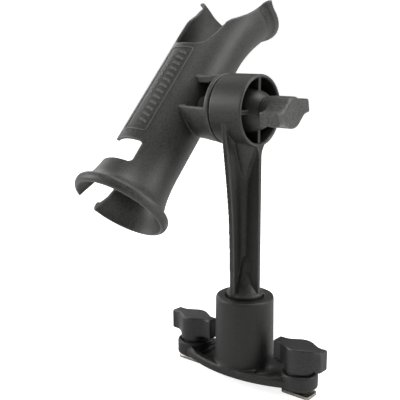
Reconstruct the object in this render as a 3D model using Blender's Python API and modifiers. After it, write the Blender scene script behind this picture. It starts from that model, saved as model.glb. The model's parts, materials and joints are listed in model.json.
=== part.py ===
"""Rod holder on a splined post: a ratcheting rod tube, a post and a track base.

Metres, +Z up the post. The origin is the centre of the base's underside, +X is the
long way of the base and the way from the tube to the tilt knob, and the tube's upper
end leans toward +Y.
"""

import math

import bmesh
import bpy
from mathutils import Matrix, Vector

MM = 0.001
GAP = 0.3                      # clearance between touching pieces
PITCH = 1.27                   # one turn of every clamp thread

# Base (all driving dimensions in millimetres)
BOLT_SPACING = 108.0
BOSS_RADIUS = 15.0
BOSS_TOP = 12.0
FLANGE_TOP = 8.0
FLANGE_HALF_WIDTH = 26.0
FLANGE_ARC_RADIUS = 118.0
WEB_TOP = 4.5
RIM_WIDTH = 5.5
WASHER_SEAT_RADIUS = 11.1      # shallow seat in each boss that hides its washer
WASHER_SEAT_DEPTH = 1.3
SOCKET_RADIUS = 24.0
SOCKET_TOP = 64.0
SOCKET_MOUTH_RADIUS = 15.4
SOCKET_MOUTH_DEPTH = 12.0
SOCKET_FLOOR = 8.0
BOLT_RADIUS = 3.1
BOLT_HOLE_RADIUS = 3.6
T_HEAD_DROP = 4.8              # from the base's underside to the track bolt's head
T_HEAD_THICKNESS = 2.6

# Spline between post and socket
SPLINE_TEETH = 24
SPLINE_TIP = 13.0
SPLINE_ROOT = 11.6

# Post and hub drum
HUB_HEIGHT = 216.6
DRUM_RADIUS = 28.0
DRUM_BACK = -16.0
DRUM_FRONT = 14.2
CUP_RADIUS = 25.2
CUP_FLOOR = -8.0
SPOKE_WIDTH = 3.0
SPOKE_FRONT = 12.6
CONE_TIP = 19.6
FOOT_RADIUS = 15.0
FOOT_TOP = 66.0
FOOT_CONE_TOP = 95.0
SIDE_RIB_BACK = -4.6
SIDE_RIB_FRONT = -0.6
FRONT_RIB_REACH = 14.0
FRONT_RIB_HALF = 1.6

# Ratchet faces between drum and tube
SEAM = -16.65
RATCHET_TEETH = 24
RATCHET_INNER = 13.0
RATCHET_OUTER = 24.0
TOOTH_HEIGHT = 0.6

# Rod tube: lengths are measured along its axis, from the hub axis toward its upper end
TUBE_OFFSET = -70.5
TUBE_TILT = math.radians(43.9)
TUBE_RADIUS = 29.5
TUBE_WALL = 2.8
TUBE_TOP = 118.4
TOP_FLARE_START = 60.0
TOP_FLARE_GROWTH = 7.4
TOP_FLARE_SHIFT = 10.4
FLARE_RINGS = [103, 91, 79, TOP_FLARE_START]
RIM_BEAD = 1.2
HORN_HEIGHT = 16.0             # above the scoop's centre line, where its sides spread into horns
HORN_SPREAD = 0.2
SADDLE_FLOOR = 44.0
SLOT_HALF_WIDTH = 10.5
SLOT_TOP = -25.0
NOTCH_TOP = -57.0
NOTCH_BOTTOM = -77.5
NOTCH_START = 61.0             # angles round the tube in degrees, from the hub's side
NOTCH_SHOULDER = 120.0
DISC_FRONT = -17.3
DISC_BACK = -21.5
SKIRT_END_RADIUS = 25.4
SKIRT_WALL = 5.2
POCKET_ANGLE = math.radians(84.0)
BOLT_BOSS_RADIUS = 10.5
BOLT_BOSS_END = -28.0
ACCESS_RADIUS = 8.0            # hole through the tube wall for the hub bolt

# Clamp knobs
KNOB_RADIUS = 12.2
KNOB_HEIGHT = 22.0
KNOB_HALF_LENGTH = 22.3
WING_HALF = 5.7
WING_BOTTOM = 4.6
INSERT_RADIUS = 4.9
INSERT_LENGTH = 14.0
WASHER_THICKNESS = 1.0
TILT_WASHER_THICKNESS = 2.0

ROUND = 40                     # sides of the large round shapes
FINE = 24                      # sides of the small ones

TUBE_FRAME = Matrix.Translation((TUBE_OFFSET, 0, HUB_HEIGHT)) @ Matrix.Rotation(-TUBE_TILT, 4, "X")
HUB_FRAME = Matrix.Translation((0, 0, HUB_HEIGHT)) @ Matrix.Rotation(math.pi / 2, 4, "Y")


def start_scene():
    """Empties the scene and makes the collections for the parts and the cutters."""
    for old in list(bpy.data.objects):
        bpy.data.objects.remove(old)
    made = []
    for name in ("rod_holder", "cutters"):
        group = bpy.data.collections.new(name)
        bpy.context.scene.collection.children.link(group)
        made.append(group)
    return made


PARTS, CUTTERS = start_scene()


def material(name, colour, roughness, metallic=0.0):
    made = bpy.data.materials.new(name)
    made.use_nodes = True
    shader = made.node_tree.nodes["Principled BSDF"]
    shader.inputs["Base Color"].default_value = (*colour, 1.0)
    shader.inputs["Roughness"].default_value = roughness
    shader.inputs["Metallic"].default_value = metallic
    return made


def scaled(matrix):
    """A millimetre frame as the matrix of an object whose mesh is in metres."""
    placed = matrix.copy()
    placed.translation = matrix.translation * MM
    return placed


def tool(mesh, matrix=Matrix()):
    """Puts a mesh in the scene as a hidden helper solid."""
    made = bpy.data.objects.new(mesh.name, mesh)
    made.matrix_world = scaled(matrix)
    made.hide_render = True
    made.display_type = "WIRE"
    CUTTERS.objects.link(made)
    return made


def finished(name, made, look):
    """Turns a helper solid into a named part with its material."""
    CUTTERS.objects.unlink(made)
    PARTS.objects.link(made)
    made.name = name
    made.data.name = name
    made.hide_render = False
    made.display_type = "TEXTURED"
    made.data.materials.clear()
    made.data.materials.append(look)
    made.data.shade_smooth()
    made.data.set_sharp_from_angle(angle=math.radians(35))
    return made


def from_bmesh(name, shape):
    mesh = bpy.data.meshes.new(name)
    bmesh.ops.scale(shape, vec=(MM, MM, MM), verts=shape.verts)
    shape.to_mesh(mesh)
    shape.free()
    return mesh


def block(low, high, matrix=Matrix()):
    shape = bmesh.new()
    bmesh.ops.create_cube(shape, size=1.0)
    size = Vector(high) - Vector(low)
    bmesh.ops.scale(shape, vec=size, verts=shape.verts)
    bmesh.ops.translate(shape, vec=(Vector(high) + Vector(low)) / 2, verts=shape.verts)
    return tool(from_bmesh("block", shape), matrix)


def rod(radius, low, high, matrix=Matrix(), sides=FINE):
    """A round bar along local Z."""
    shape = bmesh.new()
    bmesh.ops.create_cone(shape, cap_ends=True, segments=sides, radius1=radius, radius2=radius,
                          depth=high - low)
    bmesh.ops.translate(shape, vec=(0, 0, (low + high) / 2), verts=shape.verts)
    return tool(from_bmesh("rod", shape), matrix)


def plain_mesh(made):
    """Replaces an object by its evaluated, welded mesh."""
    bpy.context.view_layer.update()
    seen = made.evaluated_get(bpy.context.evaluated_depsgraph_get())
    mesh = bpy.data.meshes.new_from_object(seen)
    shape = bmesh.new()
    shape.from_mesh(mesh)
    bmesh.ops.remove_doubles(shape, verts=shape.verts, dist=0.00001)
    shape.to_mesh(mesh)
    shape.free()
    placed = made.matrix_world.copy()
    bpy.data.objects.remove(made)
    solid = bpy.data.objects.new(mesh.name, mesh)
    solid.matrix_world = placed
    solid.hide_render = True
    solid.display_type = "WIRE"
    CUTTERS.objects.link(solid)
    return solid


def turned(profile, matrix=Matrix(), sides=ROUND, ring=False):
    """Turns a profile of (radius, height) about local Z; it runs down its outer side."""
    shape = bmesh.new()
    corners = [shape.verts.new((radius, 0, height)) for radius, height in profile]
    for first, second in zip(corners, corners[1:]):
        shape.edges.new((first, second))
    if ring:
        shape.edges.new((corners[-1], corners[0]))
    made = tool(from_bmesh("turned", shape), matrix)
    screw = made.modifiers.new("Turn", "SCREW")
    screw.steps = sides
    screw.render_steps = sides
    screw.use_merge_vertices = True
    screw.merge_threshold = 0.00001
    return plain_mesh(made)


def plate(points, low, high, matrix=Matrix(), smooth=0):
    """A flat outline in local XY, drawn with straight or smooth sides, from low to high."""
    drawn = bpy.data.curves.new("plate", "CURVE")
    drawn.dimensions = "2D"
    drawn.fill_mode = "BOTH"
    drawn.extrude = (high - low) / 2 * MM
    if smooth:
        line = drawn.splines.new("BEZIER")
        line.resolution_u = smooth
        line.bezier_points.add(len(points) - 1)
        for knot, (x, y) in zip(line.bezier_points, points):
            knot.co = (x * MM, y * MM, 0)
            knot.handle_left_type = "AUTO"
            knot.handle_right_type = "AUTO"
    else:
        line = drawn.splines.new("POLY")
        line.points.add(len(points) - 1)
        for knot, (x, y) in zip(line.points, points):
            knot.co = (x * MM, y * MM, 0, 1)
    line.use_cyclic_u = True
    made = bpy.data.objects.new("plate", drawn)
    made.matrix_world = scaled(matrix @ Matrix.Translation((0, 0, (high + low) / 2)))
    CUTTERS.objects.link(made)
    return plain_mesh(made)


def combine(body, other, operation):
    step = body.modifiers.new(operation.title(), "BOOLEAN")
    step.operation = operation
    step.object = other
    step.solver = "EXACT"
    return body


def cut(body, *others):
    for other in others:
        combine(body, other, "DIFFERENCE")
    return body


def join(body, *others):
    for other in others:
        combine(body, other, "UNION")
    return body


def soften(body, width, steps=1, angle=40):
    edge = body.modifiers.new("Edges", "BEVEL")
    edge.width = width * MM
    edge.segments = steps
    edge.limit_method = "ANGLE"
    edge.angle_limit = math.radians(angle)
    return body


def arc(centre, radius, start, end, count):
    """Points on an arc, with both of its ends, angles in degrees."""
    step = (end - start) / (count - 1)
    return [(centre[0] + radius * math.cos(math.radians(start + step * i)),
             centre[1] + radius * math.sin(math.radians(start + step * i))) for i in range(count)]


def star(teeth, tip, root):
    """The outline of a spline with pointed teeth."""
    points = []
    for i in range(teeth * 2):
        radius = tip if i % 2 == 0 else root
        angle = math.pi * i / teeth
        points.append((radius * math.cos(angle), radius * math.sin(angle)))
    return points


def lens_width(x, inset=0.0):
    """Half the width of the base flange at x."""
    drop = FLANGE_ARC_RADIUS - FLANGE_HALF_WIDTH
    return math.sqrt((FLANGE_ARC_RADIUS - inset) ** 2 - x * x) - drop


def lens_outline(reach, inset, start=None):
    """The flange's outline between two distances from the middle."""
    first = -reach if start is None else start
    steps = 12
    stations = [first + (reach - first) * i / steps for i in range(steps + 1)]
    upper = [(x, lens_width(x, inset)) for x in stations]
    return upper + [(x, -y) for x, y in reversed(upper)]


def ratchet_ring(near, far, teeth_up):
    """A face ring of radial teeth about local Z; its toothed end lies at far."""
    if teeth_up:
        profile = [(RATCHET_OUTER, far), (RATCHET_OUTER, near), (RATCHET_INNER, near), (RATCHET_INNER, far)]
    else:
        profile = [(RATCHET_OUTER, near), (RATCHET_OUTER, far), (RATCHET_INNER, far), (RATCHET_INNER, near)]
    ring = turned(profile, HUB_FRAME, RATCHET_TEETH * 2, ring=True)
    half_tooth = math.pi / RATCHET_TEETH
    for corner in ring.data.vertices:
        if abs(corner.co.z - far * MM) < 0.1 * MM:
            turn = round(math.atan2(corner.co.y, corner.co.x) / half_tooth)
            reach = math.hypot(corner.co.x, corner.co.y) / RATCHET_OUTER
            corner.co.z += TOOTH_HEIGHT * reach * (1 if turn % 2 else -1)
    return ring


def make_base(look):
    flange = soften(plate(lens_outline(BOLT_SPACING / 2, 0.0), 0, FLANGE_TOP), 1.4)
    for side in (-1, 1):
        x = side * BOLT_SPACING / 2
        boss = [(0, BOSS_TOP), (BOSS_RADIUS - 1, BOSS_TOP), (BOSS_RADIUS, BOSS_TOP - 1), (BOSS_RADIUS, 0), (0, 0)]
        join(flange, turned(boss, Matrix.Translation((x, 0, 0))))
    for side in (-1, 1):
        near = SOCKET_RADIUS + 5
        far = BOLT_SPACING / 2 - BOSS_RADIUS + 0.5
        pocket = plate(lens_outline(far, RIM_WIDTH, near), WEB_TOP, FLANGE_TOP + 4,
                       Matrix.Rotation(0 if side > 0 else math.pi, 4, "Z"))
        cut(flange, pocket)
    wall = [(0, SOCKET_TOP), (SOCKET_RADIUS - 1.4, SOCKET_TOP), (SOCKET_RADIUS - 0.4, SOCKET_TOP - 0.5),
            (SOCKET_RADIUS, SOCKET_TOP - 1.6), (SOCKET_RADIUS + 0.5, FLANGE_TOP + 4),
            (SOCKET_RADIUS + 1.6, FLANGE_TOP + 1.2), (SOCKET_RADIUS + 4, FLANGE_TOP - 1.5),
            (SOCKET_RADIUS + 4, 1), (0, 1)]
    socket = turned(wall)
    combine(socket, plate(lens_outline(BOLT_SPACING / 2, 0.4), 0.5, SOCKET_TOP + 1), "INTERSECT")
    join(flange, socket)
    mouth_floor = SOCKET_TOP - SOCKET_MOUTH_DEPTH
    mouth = [(0, SOCKET_TOP + 2), (SOCKET_MOUTH_RADIUS + 2.8, SOCKET_TOP + 2), (SOCKET_MOUTH_RADIUS, SOCKET_TOP - 0.8),
             (SOCKET_MOUTH_RADIUS, mouth_floor), (0, mouth_floor)]
    bore = plate(star(SPLINE_TEETH, SPLINE_TIP + GAP, SPLINE_ROOT + GAP), SOCKET_FLOOR, mouth_floor + 1)
    cut(flange, turned(mouth), bore)
    for side in (-1, 1):
        boss_place = Matrix.Translation((side * BOLT_SPACING / 2, 0, 0))
        cut(flange, rod(WASHER_SEAT_RADIUS, BOSS_TOP - WASHER_SEAT_DEPTH, BOSS_TOP + 1, boss_place))
        cut(flange, rod(BOLT_HOLE_RADIUS, -1, BOSS_TOP, boss_place))
    return finished("base_with_socket", flange, look)


def make_post(look):
    drum = [(0, DRUM_FRONT), (DRUM_RADIUS - 1.0, DRUM_FRONT), (DRUM_RADIUS, DRUM_FRONT - 1.0),
            (DRUM_RADIUS, DRUM_BACK + 0.6), (DRUM_RADIUS - 0.6, DRUM_BACK), (0, DRUM_BACK)]
    post = turned(drum, HUB_FRAME)
    waist = HUB_HEIGHT - 86
    side_rib = [(15.0, FOOT_TOP - 1), (15.5, FOOT_CONE_TOP), (16.3, waist), (26.0, HUB_HEIGHT - 9)]
    side_rib += [(-y, z) for y, z in reversed(side_rib)]
    facing_x = Matrix(((0, 0, 1, 0), (1, 0, 0, 0), (0, 1, 0, 0), (0, 0, 0, 1)))
    facing_y = Matrix(((1, 0, 0, 0), (0, 0, -1, 0), (0, 1, 0, 0), (0, 0, 0, 1)))
    join(post, plate(side_rib, SIDE_RIB_BACK, SIDE_RIB_FRONT, facing_x))
    front_rib = [(FRONT_RIB_REACH, FOOT_TOP - 1), (FRONT_RIB_REACH, HUB_HEIGHT - 20),
                 (-FRONT_RIB_REACH, HUB_HEIGHT - 20), (-FRONT_RIB_REACH, FOOT_TOP - 1)]
    join(post, plate(front_rib, -FRONT_RIB_HALF, FRONT_RIB_HALF, facing_y))
    mouth_floor = SOCKET_TOP - SOCKET_MOUTH_DEPTH
    foot = [(0, FOOT_CONE_TOP), (5.2, FOOT_CONE_TOP - 4), (8.0, FOOT_CONE_TOP - 14), (13.4, FOOT_TOP + 1),
            (FOOT_RADIUS - 0.6, FOOT_TOP), (FOOT_RADIUS, FOOT_TOP - 0.8), (FOOT_RADIUS, 58.4),
            (FOOT_RADIUS - 1.9, 58.2), (FOOT_RADIUS - 1.9, 55.6), (FOOT_RADIUS, 55.4),
            (FOOT_RADIUS, mouth_floor + GAP), (0, mouth_floor + GAP)]
    core = rod(5.0, FOOT_TOP, HUB_HEIGHT - 24, Matrix.Translation((-1.5, 0, 0)), 12)
    join(post, core, turned(foot))
    join(post, plate(star(SPLINE_TEETH, SPLINE_TIP, SPLINE_ROOT), SOCKET_FLOOR + 2, mouth_floor + 1))
    cup = [(0, DRUM_FRONT + 1), (CUP_RADIUS + 1.3, DRUM_FRONT + 1), (CUP_RADIUS, DRUM_FRONT - 1.2),
           (CUP_RADIUS - 0.8, CUP_FLOOR), (0, CUP_FLOOR)]
    cut(post, turned(cup, HUB_FRAME))
    cone = [(0, CONE_TIP), (11.0, CONE_TIP), (12.6, CONE_TIP - 1.8), (16.6, 8.0), (18.6, CUP_FLOOR + 3),
            (19.5, CUP_FLOOR - 1), (0, CUP_FLOOR - 1)]
    join(post, turned(cone, HUB_FRAME))
    reach = CUP_RADIUS + 1
    for turn in (0, 1):
        spoke = block((-reach, -SPOKE_WIDTH / 2, CUP_FLOOR - 1), (reach, SPOKE_WIDTH / 2, SPOKE_FRONT),
                      HUB_FRAME @ Matrix.Rotation(turn * math.pi / 2, 4, "Z"))
        join(post, spoke)
    join(post, ratchet_ring(DRUM_BACK + 1, SEAM + GAP / 2, False))
    cut(post, rod(BOLT_HOLE_RADIUS, SEAM - 3, CONE_TIP + 2, HUB_FRAME))
    return finished("post_with_hub_drum", post, look)


def flare(shape):
    """Opens the tube's upper end into a scoop whose rim is moved toward the underside."""
    for corner in shape.data.vertices:
        along = corner.co.z / MM
        reach = min(max((along - TOP_FLARE_START) / (TUBE_TOP - TOP_FLARE_START), 0.0), 1.0)
        growth = 0.9 * reach ** 1.8 + 0.1 * reach ** 10
        radius = math.hypot(corner.co.x, corner.co.y)
        if radius > MM:
            stretch = 1 + TOP_FLARE_GROWTH * growth * MM / radius
            rise = min(max(-corner.co.y * stretch / (HORN_HEIGHT * MM), 0.0), 1.0)
            corner.co.x *= stretch * (1 + HORN_SPREAD * reach ** 4 * rise ** 2)
            corner.co.y = corner.co.y * stretch + TOP_FLARE_SHIFT * growth * MM
    return shape


def tube_outside():
    """The tube's outer profile from its upper rim down to the rolled lip at its mouth."""
    rim = TUBE_RADIUS + RIM_BEAD
    profile = [(0, TUBE_TOP), (rim - 0.8, TUBE_TOP), (rim, TUBE_TOP - 0.8), (rim, TUBE_TOP - 3)]
    profile += [(TUBE_RADIUS, along) for along in [TUBE_TOP - 5, *FLARE_RINGS]]
    profile += [(TUBE_RADIUS, -60), (29.9, -72), (30.8, -80), (32.3, -88), (34.0, -92.5), (36.4, -96.4), (38.6, -98),
                (40.6, -98.8), (41.4, -101), (40.9, -104), (39.2, -106.4), (36.6, -106.6), (0, -106.6)]
    return profile


def tube_inside():
    bore = TUBE_RADIUS - TUBE_WALL
    profile = [(0, TUBE_TOP + 2), (bore, TUBE_TOP + 2)]
    profile += [(bore, along) for along in [TUBE_TOP, *FLARE_RINGS]]
    profile += [(bore, -60), (27.0, -72), (27.8, -80), (29.2, -88), (31.0, -93), (33.5, -98), (35.6, -102),
                (38.2, -108), (0, -108)]
    return profile


def notch_outline():
    """The reel notch, its rounded shoulder and the slot's upper part, as (angle, along)."""
    slot = math.degrees(math.asin(SLOT_HALF_WIDTH / TUBE_RADIUS))
    inner = NOTCH_START + 9
    near, far = 180 - slot, 180 + slot
    notch = [(far, NOTCH_BOTTOM), (inner, NOTCH_BOTTOM), (NOTCH_START + 2.6, NOTCH_BOTTOM + 1.4),
             (NOTCH_START, NOTCH_BOTTOM + 4.6), (NOTCH_START, NOTCH_TOP - 4.6), (NOTCH_START + 2.6, NOTCH_TOP - 1.4),
             (inner, NOTCH_TOP)]
    shoulder = [(NOTCH_SHOULDER, NOTCH_TOP), (130, -56), (140, -53), (149, -48.5), (155, -43)]
    upper = [(near, SLOT_TOP - 8), (near + 4, SLOT_TOP - 3), (near + 10, SLOT_TOP)]
    return notch + shoulder + upper + [(360 - angle, along) for angle, along in reversed(upper)]


def notch_cutter():
    """The notch's outline as a block wrapped round the tube."""
    outline = notch_outline()
    scale = TUBE_RADIUS * math.pi / 180
    shape = bmesh.new()
    inside = [shape.verts.new((angle * scale, along, TUBE_RADIUS - 12)) for angle, along in outline]
    outside = [shape.verts.new((angle * scale, along, TUBE_RADIUS + 12)) for angle, along in outline]
    for i in range(len(outline)):
        shape.faces.new((inside[i - 1], inside[i], outside[i], outside[i - 1]))
    shape.faces.new(inside)
    shape.faces.new(outside)
    for angle in range(int(NOTCH_START) + 6, 200, 9):
        everything = shape.verts[:] + shape.edges[:] + shape.faces[:]
        bmesh.ops.bisect_plane(shape, geom=everything, plane_co=(angle * scale, 0, 0), plane_no=(1, 0, 0))
    for corner in shape.verts:
        angle = -corner.co.x / TUBE_RADIUS
        corner.co = (corner.co.z * math.cos(angle), corner.co.z * math.sin(angle), corner.co.y)
    bmesh.ops.recalc_face_normals(shape, faces=shape.faces)
    return tool(from_bmesh("notch", shape), TUBE_FRAME)


def saddle_cutter():
    """The scoop's round floor, as it is seen from the open side."""
    right = [(0, SADDLE_FLOOR), (12, 46.5), (17.6, 56), (21, 74), (21.4, 90), (21.4, 132)]
    outline = right + [(-x, along) for x, along in reversed(right[1:])]
    facing_saddle = Matrix(((1, 0, 0, 0), (0, 0, -1, 0), (0, 1, 0, 0), (0, 0, 0, 1)))
    return plate(outline, 0, 60, TUBE_FRAME @ facing_saddle, smooth=4)


def horn_cutter():
    """Everything above the scoop's edges, as they are seen from the side."""
    edge = [(22.4, 71), (20.2, 76), (16.6, 83), (12.4, 90), (8.6, 97), (5.8, 104), (4.4, 110), (3.9, 115),
            (2.8, TUBE_TOP), (1.0, TUBE_TOP + 6)]
    outline = edge + [(60, TUBE_TOP + 6), (60, 71)]
    facing_side = Matrix(((0, 0, -1, 0), (-1, 0, 0, 0), (0, 1, 0, 0), (0, 0, 0, 1)))
    return plate(outline, -50, 50, TUBE_FRAME @ facing_side)


def hub_boss():
    """The disc, the hollow skirt and the bolt boss that carry the tube on the drum."""
    wall = TUBE_OFFSET + TUBE_RADIUS - 2.0
    outer = [(DRUM_RADIUS - 0.4, DISC_BACK + 1), (SKIRT_END_RADIUS, wall), (SKIRT_END_RADIUS, wall - 8)]
    inner = [(radius - SKIRT_WALL, along) for radius, along in reversed(outer)]
    boss = turned(outer + inner, HUB_FRAME, ring=True)
    reach = DRUM_RADIUS * 1.6
    half = POCKET_ANGLE / 2
    wedge = [(5, 0), (reach * math.cos(half), -reach * math.sin(half)), (reach * 1.3, 0),
             (reach * math.cos(half), reach * math.sin(half))]
    for side in (0, math.pi):
        turn = Matrix.Rotation(side - math.pi / 2 - TUBE_TILT, 4, "Z")
        cut(boss, plate(wedge, wall - 12, DISC_BACK + 0.4, HUB_FRAME @ turn))
    disc = [(0, DISC_FRONT), (DRUM_RADIUS - 0.6, DISC_FRONT), (DRUM_RADIUS, DISC_FRONT - 0.6),
            (DRUM_RADIUS, DISC_BACK + 0.5), (DRUM_RADIUS - 0.5, DISC_BACK), (0, DISC_BACK)]
    join(boss, turned(disc, HUB_FRAME), rod(BOLT_BOSS_RADIUS, BOLT_BOSS_END, DISC_BACK + 1, HUB_FRAME))
    return join(boss, ratchet_ring(DISC_FRONT - 1, SEAM - GAP / 2, True))


def hex_outline(across_flats):
    radius = across_flats / 2 / math.cos(math.pi / 6)
    return arc((0, 0), radius, 0, 300, 6)


def make_tube(look):
    tube = flare(turned(tube_outside(), TUBE_FRAME))
    join(tube, hub_boss())
    cut(tube, flare(turned(tube_inside(), TUBE_FRAME)), saddle_cutter(), horn_cutter(), notch_cutter())
    slot = block((-60, -SLOT_HALF_WIDTH, -125), (-12, SLOT_HALF_WIDTH, NOTCH_TOP - 6), TUBE_FRAME)
    cut(tube, slot)
    cut(tube, rod(BOLT_HOLE_RADIUS, BOLT_BOSS_END - 2, SEAM + 3, HUB_FRAME))
    cut(tube, plate(hex_outline(11.1 + 2 * GAP), BOLT_BOSS_END - 1, BOLT_BOSS_END + 3.4, HUB_FRAME))
    cut(tube, rod(ACCESS_RADIUS, -52, BOLT_BOSS_END + 0.4, HUB_FRAME))
    return finished("rod_tube", tube, look)


def knob_outline():
    """Round middle with two wings, alike after half a turn."""
    side = [(KNOB_HALF_LENGTH, -WING_HALF + 1.2), (KNOB_HALF_LENGTH, WING_HALF - 1.2),
            (KNOB_HALF_LENGTH - 1.2, WING_HALF), (16.0, WING_HALF + 0.3), (12.2, 7.4)]
    side += arc((0, 0), KNOB_RADIUS, 52, 128, 7)
    side += [(-12.2, 7.4), (-16.0, WING_HALF + 0.3), (-KNOB_HALF_LENGTH + 1.2, WING_HALF)]
    return side + [(-x, -y) for x, y in side]


def make_knob(name, place, look):
    """A T-knob about local Z, standing on its washer at local zero."""
    knob = soften(plate(knob_outline(), WING_BOTTOM, KNOB_HEIGHT, place), 0.9)
    join(knob, rod(KNOB_RADIUS - 0.2, 0, KNOB_HEIGHT - 3, place))
    cut(knob, rod(INSERT_RADIUS + GAP, -1, INSERT_LENGTH + 1, place))
    cut(knob, rod(BOLT_RADIUS + 2 * GAP, INSERT_LENGTH, INSERT_LENGTH + 4, place))
    return own_origin(finished(name, knob, look), place)


def own_origin(made, place):
    """Puts the object's origin at the place's origin, with the shape left where it is."""
    target = scaled(Matrix.Translation(place.translation))
    bpy.context.view_layer.update()
    made.data.transform(target.inverted() @ made.matrix_world)
    made.matrix_world = target
    return made


def make_insert(name, place, look):
    insert = rod(INSERT_RADIUS, 0.5, INSERT_LENGTH, place)
    return own_origin(finished(name, cut(insert, rod(BOLT_RADIUS + GAP, -1, INSERT_LENGTH + 1, place)), look), place)


def make_washer(name, radius, thickness, place, look):
    profile = [(radius, thickness), (radius, 0), (BOLT_HOLE_RADIUS, 0), (BOLT_HOLE_RADIUS, thickness)]
    return own_origin(finished(name, turned(profile, place, FINE, ring=True), look), place)


def make_hub_bolt(look):
    """A hexagon bolt held in the tube's boss; the tilt knob runs on its far end."""
    head = BOLT_BOSS_END + 3.4 - GAP
    bolt = rod(BOLT_RADIUS, head - 2, CONE_TIP + 16.4, HUB_FRAME)
    join(bolt, soften(plate(hex_outline(11.1), head - 4.4, head, HUB_FRAME), 0.4))
    return own_origin(finished("hub_bolt", bolt, look), HUB_FRAME)


def make_t_bolt(name, x, look):
    """A track bolt: a thin oblong head below the base and a threaded shank through it."""
    place = Matrix.Translation((x, 0, 0))
    half_length, half_width, corner = 13.0, 7.6, 3.0
    corners = []
    for turn, (sx, sy) in enumerate(((1, 1), (-1, 1), (-1, -1), (1, -1))):
        centre = (sx * (half_length - corner), sy * (half_width - corner))
        corners += arc(centre, corner, turn * 90, turn * 90 + 90, 4)
    bolt = soften(plate(corners, -T_HEAD_DROP - T_HEAD_THICKNESS, -T_HEAD_DROP, place), 0.4)
    join(bolt, rod(BOLT_RADIUS, -T_HEAD_DROP - 1, BOSS_TOP + INSERT_LENGTH - 1, place))
    return own_origin(finished(name, bolt, look), place)


def make_o_ring(look):
    ring = turned(arc((FOOT_RADIUS - 0.7, 56.9), 0.8, 90, -210, 6), Matrix(), ROUND, ring=True)
    return finished("post_o_ring", ring, look)


def build():
    composite = material("composite", (0.055, 0.055, 0.055), 0.6)
    knob_plastic = material("knob_plastic", (0.04, 0.04, 0.04), 0.55)
    steel = material("stainless_steel", (0.62, 0.60, 0.57), 0.28, 1.0)
    brass = material("brass", (0.70, 0.52, 0.25), 0.35, 1.0)
    rubber = material("rubber", (0.015, 0.015, 0.015), 0.8)
    nylon = material("nylon", (0.02, 0.02, 0.02), 0.6)

    make_base(composite)
    make_post(composite)
    make_tube(composite)
    make_hub_bolt(steel)
    make_o_ring(rubber)

    hub = HUB_FRAME @ Matrix.Translation((0, 0, CONE_TIP + GAP))
    make_washer("tilt_washer", KNOB_RADIUS - 0.8, TILT_WASHER_THICKNESS, hub, nylon)
    seat = Matrix.Translation((0, 0, TILT_WASHER_THICKNESS + GAP))
    tilt = hub @ seat @ Matrix.Rotation(math.radians(101), 4, "Z")
    make_knob("tilt_knob", tilt, knob_plastic)
    make_insert("tilt_knob_insert", tilt, brass)
    for side, label, angle in ((-1, "left", -3), (1, "right", -2)):
        foot = Matrix.Translation((side * BOLT_SPACING / 2, 0, BOSS_TOP - WASHER_SEAT_DEPTH + GAP))
        make_washer(label + "_washer", KNOB_RADIUS - 1.5, WASHER_THICKNESS, foot, nylon)
        seat = Matrix.Translation((0, 0, WASHER_THICKNESS + GAP))
        turn = foot @ seat @ Matrix.Rotation(math.radians(angle), 4, "Z")
        make_knob(label + "_knob", turn, knob_plastic)
        make_insert(label + "_knob_insert", turn, brass)
        make_t_bolt(label + "_t_bolt", side * BOLT_SPACING / 2, steel)


build()
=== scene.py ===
"""The rod holder's visual model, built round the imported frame. Lengths are in millimetres."""

import json
import math

import bmesh
import bpy
from mathutils import Matrix, Vector

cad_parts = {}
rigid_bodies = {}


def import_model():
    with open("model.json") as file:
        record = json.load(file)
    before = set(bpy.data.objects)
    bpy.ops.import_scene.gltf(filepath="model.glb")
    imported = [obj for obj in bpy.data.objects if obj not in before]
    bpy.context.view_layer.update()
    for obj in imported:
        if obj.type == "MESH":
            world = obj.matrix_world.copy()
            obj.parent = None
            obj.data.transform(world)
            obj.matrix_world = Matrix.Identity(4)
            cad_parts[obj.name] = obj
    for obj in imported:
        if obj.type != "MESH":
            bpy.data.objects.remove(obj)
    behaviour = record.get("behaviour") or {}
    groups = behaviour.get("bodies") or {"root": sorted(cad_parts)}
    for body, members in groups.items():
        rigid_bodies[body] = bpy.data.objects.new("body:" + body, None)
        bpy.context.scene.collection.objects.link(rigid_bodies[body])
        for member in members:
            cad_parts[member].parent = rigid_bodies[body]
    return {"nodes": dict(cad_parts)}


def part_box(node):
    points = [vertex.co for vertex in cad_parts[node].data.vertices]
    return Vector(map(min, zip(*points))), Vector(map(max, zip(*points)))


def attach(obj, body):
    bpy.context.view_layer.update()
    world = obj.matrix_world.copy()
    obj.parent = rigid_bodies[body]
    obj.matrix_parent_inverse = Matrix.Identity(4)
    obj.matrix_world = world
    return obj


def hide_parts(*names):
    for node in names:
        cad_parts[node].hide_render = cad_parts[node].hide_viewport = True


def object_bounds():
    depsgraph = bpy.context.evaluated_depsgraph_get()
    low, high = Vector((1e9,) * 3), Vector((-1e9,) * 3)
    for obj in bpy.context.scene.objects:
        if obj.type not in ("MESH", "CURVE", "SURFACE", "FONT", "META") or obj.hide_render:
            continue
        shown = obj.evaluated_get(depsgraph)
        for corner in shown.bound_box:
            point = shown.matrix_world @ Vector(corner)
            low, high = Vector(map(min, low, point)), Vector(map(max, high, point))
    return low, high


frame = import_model()
cad_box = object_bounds()

MM = 0.001


def corner_mm(node, high):
    return Vector(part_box(node)[1 if high else 0]) / MM


def middle_mm(node):
    return (corner_mm(node, False) + corner_mm(node, True)) / 2


# Places read from the frame
HUB_HEIGHT = middle_mm("hub_bolt").z
KNOB_SEAT = corner_mm("left_knob", False).z
BOLT_X = middle_mm("right_t_bolt").x
TILT_SEAT = corner_mm("tilt_knob", False).x
SOCKET_TOP = corner_mm("base_with_socket", True).z
KNOB_HEIGHT = corner_mm("left_knob", True).z - KNOB_SEAT
T_HEAD_LOW = corner_mm("left_t_bolt", False).z
BOLT_END = corner_mm("left_t_bolt", True).z

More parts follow.
